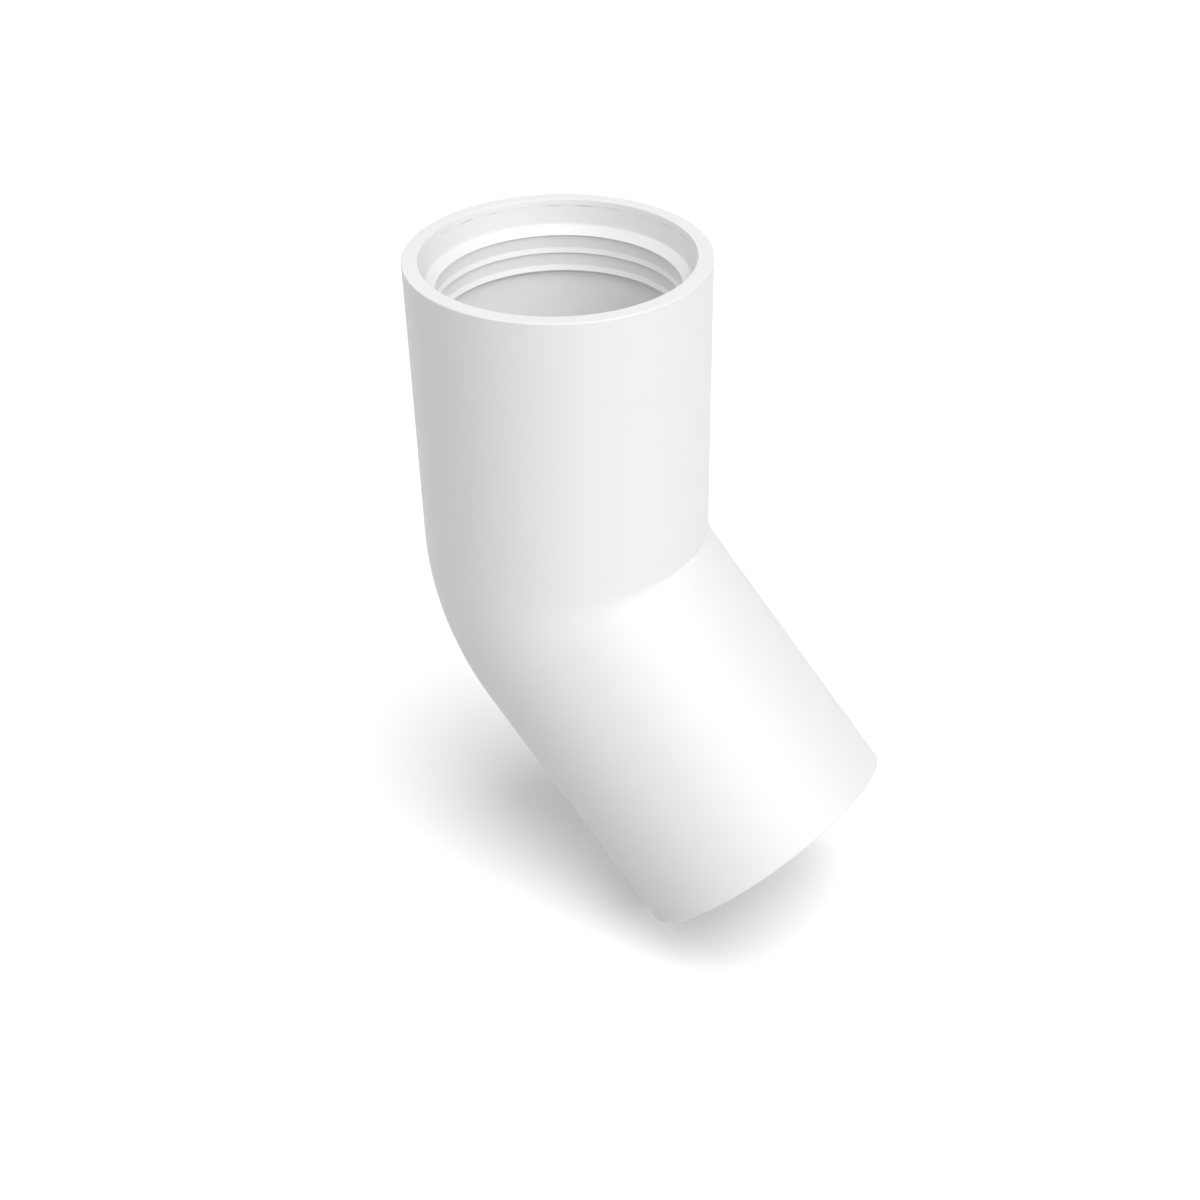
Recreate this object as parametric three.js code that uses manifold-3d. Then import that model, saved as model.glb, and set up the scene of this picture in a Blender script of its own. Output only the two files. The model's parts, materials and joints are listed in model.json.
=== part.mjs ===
// A 45 degree PVC elbow for irrigation pipe, female at both ends.
// The elbow body is a thick bent tube of one outside diameter. A ringed bush sits in a recess inside
// each mouth, caught under a thin lip of the body.
//
// Millimetres. The origin is the centre of the upper mouth, with +Z pointing out of that mouth.
// The lower leg bends away towards +X, so the XZ plane is the part's plane of symmetry.

import * as THREE from 'three';
import { mergeVertices } from 'three/addons/utils/BufferGeometryUtils.js';
import Module from 'manifold-3d';

const wasm = await Module();
wasm.setup();

// Elbow body
const OUTER_RADIUS = 19;
const BORE_RADIUS = 16;
const LEG_LENGTH = 38.3; // straight part of each leg, from its mouth to the start of the bend
const BEND_ANGLE = Math.PI / 4;
const CROTCH_RADIUS = 0.2; // the inside corner of the bend is almost sharp
const BEND_RADIUS = OUTER_RADIUS + CROTCH_RADIUS; // of the centreline

// Lip and recess for the bush, as depths below the rim
const MOUTH_RADIUS = 17.05;
const LIP_RADIUS = 16.85; // the mouth tapers from its rim down to this at the lip's lower edge
const LIP_DEPTH = 0.75;
const RECESS_RADIUS = 17.6;
const RECESS_DEPTH = 9.7;

// Ringed bush, as depths below the rim
const BUSH_CLEARANCE = 0.25; // to the lip, to the recess wall and to the ledge
const LEAD_IN_RADIUS = 16.25; // where the lip's slow taper, carried on, turns into the steep bevel
const LEAD_IN_DEPTH = 3.05;
const CREST_RADIUS = 15.2;
const BEVEL_DEPTH = 4.25; // the bevel ends here, on the first crest
const RING_PITCH = 2.42;
const RING_COUNT = 2; // ridges below the bevel's own crest
const RING_HEIGHT = 0.68; // of the slope above each ridge's crest
const ROOT_RADIUS = 15.5; // of the wall between ridges

// Faceting
const SIDES = 64;
const BEND_STEPS = 9;
const OVERSHOOT = 2; // how far a cutter reaches past the face that it opens
const MERGE_DISTANCE = 1e-3;

const pvc = { color: 0xf5f5f3, roughness: 0.42, metalness: 0 };

// The centreline from mouth to mouth: a leg, the bend in equal steps, and the other leg. The curve's
// parameter counts those spans, so a swept section has a ring at each end of the bend.
class ElbowCentreline extends THREE.Curve {
  constructor(extension = 0) {
    super();
    this.leg = LEG_LENGTH + extension;
    this.top = extension;
  }

  get spans() {
    return BEND_STEPS + 2;
  }

  turnAt(t) {
    const step = THREE.MathUtils.clamp(t * this.spans - 1, 0, BEND_STEPS);
    return (step / BEND_STEPS) * BEND_ANGLE;
  }

  getTangent(t) {
    const turn = this.turnAt(t);
    return new THREE.Vector3(Math.sin(turn), 0, -Math.cos(turn));
  }

  getPoint(t) {
    const turn = this.turnAt(t);
    const alongUpper = Math.min(t * this.spans, 1) * this.leg;
    const alongLower = Math.max(t * this.spans - this.spans + 1, 0) * this.leg;
    const bend = new THREE.Vector3(
      BEND_RADIUS * (1 - Math.cos(turn)),
      0,
      this.top - alongUpper - BEND_RADIUS * Math.sin(turn),
    );
    return bend.addScaledVector(this.getTangent(t), alongLower);
  }

  getPointAt(u) {
    return this.getPoint(u);
  }

  getTangentAt(u) {
    return this.getTangent(u);
  }
}

function circle(radius) {
  const points = [];
  for (let side = 0; side < SIDES; side += 1) {
    const angle = (side / SIDES) * 2 * Math.PI;
    points.push(new THREE.Vector2(radius * Math.cos(angle), radius * Math.sin(angle)));
  }
  return new THREE.Shape(points);
}

// A round bar that follows the centreline, reaching past both mouths by extension.
function elbowBar(radius, extension = 0) {
  const path = new ElbowCentreline(extension);
  return new THREE.ExtrudeGeometry(circle(radius), { steps: path.spans, extrudePath: path });
}

// A round plug on the Z axis, between two depths below the rim, with a radius at each.
function plug(fromRadius, fromDepth, toRadius, toDepth) {
  const geometry = new THREE.CylinderGeometry(fromRadius, toRadius, toDepth - fromDepth, SIDES);
  geometry.rotateX(Math.PI / 2);
  geometry.translate(0, 0, -(fromDepth + toDepth) / 2);
  return geometry;
}

// Moves geometry from the upper mouth's frame into the lower mouth's frame.
const lowerMouthPoint = new ElbowCentreline().getPoint(1);
const lowerMouthTurn = Math.PI - BEND_ANGLE;
const toLowerMouth = new THREE.Matrix4()
  .makeRotationY(lowerMouthTurn)
  .setPosition(lowerMouthPoint);

function toSolid(geometry) {
  geometry.deleteAttribute('normal');
  geometry.deleteAttribute('uv');
  const merged = mergeVertices(geometry, MERGE_DISTANCE);
  return new wasm.Manifold(new wasm.Mesh({
    numProp: 3,
    vertProperties: new Float32Array(merged.getAttribute('position').array),
    triVerts: new Uint32Array(merged.getIndex().array),
  }));
}

function toGeometry(solid) {
  const mesh = solid.getMesh();
  const geometry = new THREE.BufferGeometry();
  geometry.setAttribute('position', new THREE.BufferAttribute(mesh.vertProperties, 3));
  geometry.setIndex(new THREE.BufferAttribute(mesh.triVerts, 1));
  geometry.computeVertexNormals();
  return geometry;
}

function elbowBodyGeometry() {
  const taper = (MOUTH_RADIUS - LIP_RADIUS) / LIP_DEPTH;
  const mouthRadius = (depth) => MOUTH_RADIUS - taper * depth;
  const mouthTop = -OVERSHOOT;
  const mouthBottom = 2 * LIP_DEPTH; // reaches into the recess
  const cutters = [elbowBar(BORE_RADIUS, OVERSHOOT)];
  for (const place of [new THREE.Matrix4(), toLowerMouth]) {
    const mouth = plug(mouthRadius(mouthTop), mouthTop, mouthRadius(mouthBottom), mouthBottom);
    const recess = plug(RECESS_RADIUS, LIP_DEPTH, RECESS_RADIUS, RECESS_DEPTH);
    cutters.push(mouth.applyMatrix4(place), recess.applyMatrix4(place));
  }
  let body = toSolid(elbowBar(OUTER_RADIUS));
  for (const cutter of cutters) {
    body = body.subtract(toSolid(cutter));
  }
  return toGeometry(body);
}

// The bush's section, walked down its inside wall and back up its outside. Below each crest the wall
// steps out square, runs straight down, and slopes back in to the next crest.
function bushSection() {
  const outerRadius = RECESS_RADIUS - BUSH_CLEARANCE;
  const top = LIP_DEPTH + BUSH_CLEARANCE;
  const bottom = RECESS_DEPTH - BUSH_CLEARANCE;
  const section = [
    [outerRadius, top],
    [LIP_RADIUS, top],
    [LEAD_IN_RADIUS, LEAD_IN_DEPTH],
    [CREST_RADIUS, BEVEL_DEPTH],
  ];
  for (let ring = 0; ring < RING_COUNT; ring += 1) {
    const above = BEVEL_DEPTH + ring * RING_PITCH;
    const below = above + RING_PITCH;
    section.push([ROOT_RADIUS, above]);
    section.push([ROOT_RADIUS, below - RING_HEIGHT]);
    section.push([CREST_RADIUS, below]);
  }
  section.push([BORE_RADIUS, bottom]);
  section.push([outerRadius, bottom]);
  section.push([outerRadius, top]);
  return section.map(([radius, depth]) => new THREE.Vector2(radius, -depth));
}

function bushGeometry() {
  return new THREE.LatheGeometry(bushSection(), SIDES).rotateX(Math.PI / 2);
}

function mesh(name, geometry) {
  const part = new THREE.Mesh(geometry, new THREE.MeshStandardMaterial(pvc));
  part.name = name;
  return part;
}

const upperMouth = new THREE.Group();
upperMouth.add(mesh('upper_ring_bush', bushGeometry()));

const lowerMouth = new THREE.Group();
lowerMouth.position.copy(lowerMouthPoint);
lowerMouth.rotation.y = lowerMouthTurn;
lowerMouth.add(mesh('lower_ring_bush', bushGeometry()));

const elbow = new THREE.Group();
elbow.add(mesh('elbow_body', elbowBodyGeometry()), upperMouth, lowerMouth);

export default elbow;
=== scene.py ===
"""The looks of a 45 degree PVC pipe elbow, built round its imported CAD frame.

Everything is in metres in the part's own frame: the origin is the centre of the upper mouth, +Z points
out of that mouth, and the lower leg bends away towards +X.
"""

import json
import math

import bmesh
import bpy
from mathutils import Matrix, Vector


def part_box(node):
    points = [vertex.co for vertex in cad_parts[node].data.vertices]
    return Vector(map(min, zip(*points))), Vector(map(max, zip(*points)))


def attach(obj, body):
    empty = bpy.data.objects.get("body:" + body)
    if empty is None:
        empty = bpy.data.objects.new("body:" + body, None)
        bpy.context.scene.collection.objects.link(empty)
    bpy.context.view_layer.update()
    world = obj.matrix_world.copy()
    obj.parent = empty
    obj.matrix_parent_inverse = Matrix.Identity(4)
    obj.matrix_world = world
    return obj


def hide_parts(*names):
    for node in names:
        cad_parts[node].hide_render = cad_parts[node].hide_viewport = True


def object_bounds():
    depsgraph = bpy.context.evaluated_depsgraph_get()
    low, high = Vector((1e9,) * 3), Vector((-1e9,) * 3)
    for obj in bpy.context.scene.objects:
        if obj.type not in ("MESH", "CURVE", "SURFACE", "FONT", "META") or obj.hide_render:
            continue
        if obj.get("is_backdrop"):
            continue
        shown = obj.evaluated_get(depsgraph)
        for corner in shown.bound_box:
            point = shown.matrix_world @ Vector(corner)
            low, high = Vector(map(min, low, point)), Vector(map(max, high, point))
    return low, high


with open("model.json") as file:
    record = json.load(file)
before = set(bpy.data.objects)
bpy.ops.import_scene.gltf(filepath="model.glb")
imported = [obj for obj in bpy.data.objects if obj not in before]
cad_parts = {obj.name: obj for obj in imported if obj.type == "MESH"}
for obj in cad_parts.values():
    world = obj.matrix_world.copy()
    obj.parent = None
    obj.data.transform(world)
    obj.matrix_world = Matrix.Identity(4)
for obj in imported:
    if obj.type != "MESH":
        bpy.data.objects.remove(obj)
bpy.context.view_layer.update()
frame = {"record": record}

MM = 0.001

# The elbow's centreline, from the CAD box of the body and the lower mouth's mount
BODY_LOW, BODY_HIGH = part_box("elbow_body")
LOWER_RIM = next(mount for mount in frame["record"]["mounts"] if mount["name"] == "lower_rim")
OUTER_RADIUS = (BODY_HIGH.y - BODY_LOW.y) / 2
BEND_ANGLE = math.acos(-Vector(LOWER_RIM["axis"]).normalized().z)
CROTCH_RADIUS = 0.2 * MM
BEND_RADIUS = OUTER_RADIUS + CROTCH_RADIUS
BEND_LENGTH = BEND_RADIUS * BEND_ANGLE
BEND_REACH = BEND_RADIUS * (1 - math.cos(BEND_ANGLE))  # how far the bend carries the centreline along +X
LEG_LENGTH = (LOWER_RIM["pos_m"][0] - BEND_REACH) / math.sin(BEND_ANGLE)
TOTAL_LENGTH = 2 * LEG_LENGTH + BEND_LENGTH

# Radii and depths below the rim, as in the CAD model
BORE_RADIUS = 16.0 * MM
MOUTH_RADIUS = 17.05 * MM
LIP_RADIUS = 16.85 * MM
LIP_DEPTH = 0.75 * MM
RECESS_RADIUS = 17.6 * MM
RECESS_DEPTH = 9.7 * MM
LEAD_IN_RADIUS = 16.25 * MM
LEAD_IN_DEPTH = 3.05 * MM
CREST_RADIUS = 15.2 * MM
BEVEL_DEPTH = 4.25 * MM
RING_PITCH = 2.42 * MM
RING_COUNT = 2
RING_HEIGHT = 0.68 * MM
ROOT_RADIUS = 15.5 * MM

# Roundings of the moulded edges
RIM_EDGE = 0.2 * MM
LIP_EDGE = 0.12 * MM
RING_EDGE = 0.05 * MM
STEP_EDGE = 0.2 * MM
LEAD_IN_EDGE = 0.8 * MM
ROOT_EDGE = 0.4 * MM

# The hairline seam between each bush and the lip over it, and how the bush's top edge dips below it
SEAM = 0.006 * MM
PRESS_GAP = 0.01 * MM
SEAM_DIP = 0.045 * MM
DIP_BIAS = 0.2
DIP_COUNT = 26
DIP_GROUPS = 7
GROUP_WEIGHT = 0.5

# Mesh density
SIDES = 256
BEND_STEPS = 40
EDGE_STEPS = 4
SHARP_ANGLE = math.radians(40)

# White PVC: the ranges of its tone and roughness, the size of its clouds and grain, and its bumps
DARK_TONE = (0.865, 0.865, 0.865, 1)
LIGHT_TONE = (0.895, 0.895, 0.895, 1)
SMOOTHEST = 0.38
ROUGHEST = 0.5
PVC_IOR = 1.53
PVC_SPECULAR = 0.5
CLOUD_SCALE, CLOUD_DETAIL = 55, 3
GRAIN_SCALE, GRAIN_DETAIL = 1800, 2
BUMP_STRENGTH = 0.15
BUMP_DISTANCE = 0.01 * MM

# Floor
FLOOR_HALF = 3.0
FLOOR_TONE = (0.82, 0.82, 0.82, 1)
FLOOR_ROUGHNESS = 0.9

# Camera, turned round Z from looking along +Y, and then down
CAMERA_PLACE = Vector((118.58, -158.15, 88.28)) * MM
CAMERA_DOWN = math.radians(35.4937)
CAMERA_TURN = math.radians(33.5377)
SENSOR_WIDTH = 36
LENS = 52.3155
SHIFT_X, SHIFT_Y = -0.04356, 0.00433
CLIP_START, CLIP_END = 0.01, 10

# Broad soft lights as (azimuth, elevation, sharpness, strength), azimuth 0 in front at -Y and 90 at +X
KEY_LIGHT = (58, 55, 7, 3.7)
SIDE_LIGHT = (90, 35, 8, 0.95)
FILL_LIGHT = (270, 35, 8, 2.1)
BACK_LIGHT = (180, 8, 8, 1.0)
BOUNCE_LIGHT = (60, -35, 8, 1.25)
UNDER_LIGHT = (0, -90, 1, 0.75)
LIGHTS = (KEY_LIGHT, SIDE_LIGHT, FILL_LIGHT, BACK_LIGHT, BOUNCE_LIGHT, UNDER_LIGHT)

# The floor's own overhead light
OVERHEAD_AZIMUTH = 90
OVERHEAD_ELEVATION = 75
OVERHEAD_SPREAD = math.radians(50)
OVERHEAD_ENERGY = 1.8


def centreline(distance):
    """The point on the centreline that far from the upper mouth, and the turn of the bend there."""
    along_bend = min(max(distance - LEG_LENGTH, 0), BEND_LENGTH)
    turn = along_bend / BEND_RADIUS
    upper = min(distance, LEG_LENGTH)
    lower = max(distance - LEG_LENGTH - BEND_LENGTH, 0)
    x = BEND_RADIUS * (1 - math.cos(turn)) + lower * math.sin(turn)
    z = -upper - BEND_RADIUS * math.sin(turn) - lower * math.cos(turn)
    return Vector((x, 0, z)), turn


def ring_point(distance, radius, angle):
    """A point on the round section at that distance along the centreline."""
    centre, turn = centreline(distance)
    outward = Vector((math.cos(turn), 0, math.sin(turn)))
    return centre + radius * (math.cos(angle) * outward + math.sin(angle) * Vector((0, 1, 0)))


def rounded(corners):
    """A closed outline from (distance, radius, edge) corners, where edge is the rounding's radius."""
    outline = []
    for index, (distance, radius, edge) in enumerate(corners):
        here = Vector((distance, radius))
        if edge == 0:
            outline.append(here)
            continue
        before = (Vector(corners[index - 1][:2]) - here).normalized()
        after = (Vector(corners[(index + 1) % len(corners)][:2]) - here).normalized()
        half = before.angle(after) / 2
        middle = here + (before + after).normalized() * edge / math.sin(half)
        start = here + before * edge / math.tan(half) - middle
        end = here + after * edge / math.tan(half) - middle
        for step in range(EDGE_STEPS + 1):
            outline.append(middle + edge * start.slerp(end, step / EDGE_STEPS))
    return outline


def with_bend_rings(outline):
    """The outline with a point wherever it passes one of the bend's steps."""
    breaks = [LEG_LENGTH + BEND_LENGTH * step / BEND_STEPS for step in range(BEND_STEPS + 1)]
    filled = []
    for index, here in enumerate(outline):
        there = outline[(index + 1) % len(outline)]
        low, high = sorted((here.x, there.x))
        between = sorted((b for b in breaks if low < b < high), reverse=there.x < here.x)
        filled.append(here)
        filled += [here.lerp(there, (b - here.x) / (there.x - here.x)) for b in between]
    return filled


def swept_piece(name, corners, waver):
    """A closed mesh made by carrying each outline point round the centreline, wavering as it goes."""
    outline = with_bend_rings(rounded(corners))
    built = bmesh.new()
    rings = []
    for distance, radius in outline:
        angles = (2 * math.pi * side / SIDES for side in range(SIDES))
        points = (ring_point(waver(distance, angle), radius, angle) for angle in angles)
        rings.append([built.verts.new(point) for point in points])
    for index, ring in enumerate(rings):
        following = rings[(index + 1) % len(rings)]
        for side in range(SIDES):
            beside = (side + 1) % SIDES
            face = built.faces.new((ring[side], ring[beside], following[beside], following[side]))
            face.smooth = True
    bmesh.ops.recalc_face_normals(built, faces=built.faces)
    mesh = bpy.data.meshes.new(name)
    built.to_mesh(mesh)
    built.free()
    mesh.set_sharp_from_angle(angle=SHARP_ANGLE)
    piece = bpy.data.objects.new(name, mesh)
    bpy.context.scene.collection.objects.link(piece)
    piece.modifiers.new("even shading", "WEIGHTED_NORMAL").keep_sharp = True
    return piece


def from_upper(depth):
    """The distance along the centreline of a depth below the upper rim."""
    return depth


def from_lower(depth):
    """The distance along the centreline of a depth below the lower rim."""
    return TOTAL_LENGTH - depth


def mouth_corners(place):
    """The body's corners at one mouth: rim, lip and recess, from the outside inwards."""
    return [
        (place(0), OUTER_RADIUS, RIM_EDGE),
        (place(0), MOUTH_RADIUS, LIP_EDGE),
        (place(LIP_DEPTH), LIP_RADIUS, 0),
        (place(LIP_DEPTH), RECESS_RADIUS, 0),
        (place(RECESS_DEPTH), RECESS_RADIUS, 0),
        (place(RECESS_DEPTH), BORE_RADIUS, RING_EDGE),
    ]


def body_corners():
    return mouth_corners(from_upper)[::-1] + mouth_corners(from_lower)


def bush_corners(place):
    """The ringed bush: lead-in taper and bevel, then steps that each slope back in to a sharp ridge."""
    outer_radius = RECESS_RADIUS - PRESS_GAP
    top = LIP_DEPTH + SEAM
    bottom = RECESS_DEPTH - PRESS_GAP
    corners = [
        (outer_radius, top, 0),
        (LIP_RADIUS, top, 0),
        (LEAD_IN_RADIUS, LEAD_IN_DEPTH, LEAD_IN_EDGE),
        (CREST_RADIUS, BEVEL_DEPTH, RING_EDGE),
    ]
    for ring in range(RING_COUNT):
        above = BEVEL_DEPTH + ring * RING_PITCH
        below = above + RING_PITCH
        corners += [
            (ROOT_RADIUS, above, STEP_EDGE),
            (ROOT_RADIUS, below - RING_HEIGHT, ROOT_EDGE),
            (CREST_RADIUS, below, RING_EDGE),
        ]
    corners += [(BORE_RADIUS, bottom, 0), (outer_radius, bottom, 0)]
    return [(place(depth), radius, edge) for radius, depth, edge in corners]


def steady(distance, angle):
    """Leaves a piece's rings as they are."""
    return distance


def seam_dips(place):
    """Lets the bush's top edge dip here and there, so the seam under the lip is a broken line."""
    top = place(LIP_DEPTH + SEAM)
    deeper = place(1) - place(0)

    def waver(distance, angle):
        if abs(distance - top) > SEAM / 2:
            return distance
        dip = DIP_BIAS + math.sin(DIP_COUNT * angle) + GROUP_WEIGHT * math.sin(DIP_GROUPS * angle)
        return distance + deeper * SEAM_DIP * max(0, dip)

    return waver


def pvc_material(name):
    """White rigid PVC with a satin moulded skin: a faint cloudiness in its tone, gloss and surface."""
    material = bpy.data.materials.new(name)
    material.use_nodes = True
    nodes, links = material.node_tree.nodes, material.node_tree.links
    shader = nodes["Principled BSDF"]
    shader.inputs["Specular IOR Level"].default_value = PVC_SPECULAR
    shader.inputs["IOR"].default_value = PVC_IOR

    place = nodes.new("ShaderNodeTexCoord")

    def noise(scale, detail):
        node = nodes.new("ShaderNodeTexNoise")
        node.inputs["Scale"].default_value = scale
        node.inputs["Detail"].default_value = detail
        links.new(place.outputs["Object"], node.inputs["Vector"])
        return node.outputs["Fac"]

    cloud = noise(CLOUD_SCALE, CLOUD_DETAIL)
    grain = noise(GRAIN_SCALE, GRAIN_DETAIL)

    tone = nodes.new("ShaderNodeMix")
    tone.data_type = "RGBA"
    tone.inputs["A"].default_value = DARK_TONE
    tone.inputs["B"].default_value = LIGHT_TONE
    links.new(cloud, tone.inputs["Factor"])
    links.new(tone.outputs["Result"], shader.inputs["Base Color"])

    gloss = nodes.new("ShaderNodeMapRange")
    gloss.inputs["To Min"].default_value = SMOOTHEST
    gloss.inputs["To Max"].default_value = ROUGHEST
    links.new(cloud, gloss.inputs["Value"])
    links.new(gloss.outputs["Result"], shader.inputs["Roughness"])

    bump = nodes.new("ShaderNodeBump")
    bump.inputs["Strength"].default_value = BUMP_STRENGTH
    bump.inputs["Distance"].default_value = BUMP_DISTANCE
    links.new(grain, bump.inputs["Height"])
    links.new(bump.outputs["Normal"], shader.inputs["Normal"])
    return material


def add_piece(name, node, corners, material, waver=steady):
    """One piece of the elbow, in the place of its CAD node."""
    piece = swept_piece(name, corners, waver)
    piece.data.materials.append(material)
    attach(piece, "root")
    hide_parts(node)


def build_elbow():
    body_pvc = pvc_material("body_pvc")
    bush_pvc = pvc_material("bush_pvc")
    add_piece("moulded_elbow_body", "elbow_body", body_corners(), body_pvc)
    for end, place in (("upper", from_upper), ("lower", from_lower)):
        name, node = f"moulded_{end}_bush", f"{end}_ring_bush"
        add_piece(name, node, bush_corners(place), bush_pvc, seam_dips(place))


def build_floor():
    """A wide white floor, level with the lowest point of the elbow.

    It throws no diffuse light back on the elbow and blocks none: the bounce and under lights, which
    shine through it, stand for its bounce.
    """
    built = bmesh.new()
    bmesh.ops.create_grid(built, x_segments=1, y_segments=1, size=FLOOR_HALF)
    mesh = bpy.data.meshes.new("floor")
    built.to_mesh(mesh)
    built.free()
    floor = bpy.data.objects.new("floor", mesh)
    floor.location.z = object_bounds()[0].z
    floor.visible_diffuse = False
    floor.visible_shadow = False
    bpy.context.scene.collection.objects.link(floor)
    material = bpy.data.materials.new("floor")
    material.use_nodes = True
    shader = material.node_tree.nodes["Principled BSDF"]
    shader.inputs["Base Color"].default_value = FLOOR_TONE
    shader.inputs["Roughness"].default_value = FLOOR_ROUGHNESS
    shader.inputs["Specular IOR Level"].default_value = 0
    mesh.materials.append(material)
    floor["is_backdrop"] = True
    return floor


def towards(azimuth, elevation):
    """The direction that many degrees round from the front and up from the floor."""
    flat = math.cos(math.radians(elevation))
    return Vector((
        flat * math.sin(math.radians(azimuth)),
        -flat * math.cos(math.radians(azimuth)),
        math.sin(math.radians(elevation)),
    ))


def build_overhead_light(floor):
    """A soft light from above, for the floor alone, that draws the small dark shadow by the contact."""
    data = bpy.data.lights.new("overhead", "SUN")
    data.angle = OVERHEAD_SPREAD
    data.energy = OVERHEAD_ENERGY
    light = bpy.data.objects.new("overhead", data)
    facing = towards(OVERHEAD_AZIMUTH, OVERHEAD_ELEVATION).to_track_quat("Z", "Y")
    light.rotation_euler = facing.to_euler()
    bpy.context.scene.collection.objects.link(light)
    receivers = bpy.data.collections.new("overhead receivers")
    receivers.objects.link(floor)
    light.light_linking.receiver_collection = receivers


def build_camera():
    data = bpy.data.cameras.new("camera")
    data.sensor_width = SENSOR_WIDTH
    data.lens = LENS
    data.shift_x = SHIFT_X
    data.shift_y = SHIFT_Y
    data.clip_start = CLIP_START
    data.clip_end = CLIP_END
    camera = bpy.data.objects.new("camera", data)
    camera.location = CAMERA_PLACE
    camera.rotation_euler = (math.pi / 2 - CAMERA_DOWN, 0, CAMERA_TURN)
    bpy.context.scene.collection.objects.link(camera)
    bpy.context.scene.camera = camera


def build_world_light():
    """A studio that looks white and has broad soft lights, each a lobe of brightness round a direction."""
    world = bpy.data.worlds.new("studio")
    bpy.context.scene.world = world
    world.use_nodes = True
    nodes, links = world.node_tree.nodes, world.node_tree.links
    direction = nodes.new("ShaderNodeTexCoord").outputs["Generated"]

    def math_node(operation, value, constant, addend=None):
        node = nodes.new("ShaderNodeMath")
        node.operation = operation
        node.inputs[1].default_value = constant
        links.new(value, node.inputs[0])
        if addend is not None:
            links.new(addend, node.inputs[2])
        return node.outputs[0]

    total = nodes.new("ShaderNodeLightPath").outputs["Is Camera Ray"]
    for azimuth, elevation, sharpness, strength in LIGHTS:
        facing = nodes.new("ShaderNodeVectorMath")
        facing.operation = "DOT_PRODUCT"
        facing.inputs[1].default_value = towards(azimuth, elevation)
        links.new(direction, facing.inputs[0])
        lobe = math_node("POWER", math_node("MAXIMUM", facing.outputs["Value"], 0), sharpness)
        total = math_node("MULTIPLY_ADD", lobe, strength, total)
    links.new(total, nodes["Background"].inputs["Strength"])
    nodes["Background"].inputs["Color"].default_value = (1, 1, 1, 1)
    bpy.context.scene.view_settings.view_transform = "Standard"


build_elbow()
build_overhead_light(build_floor())
build_camera()
build_world_light()
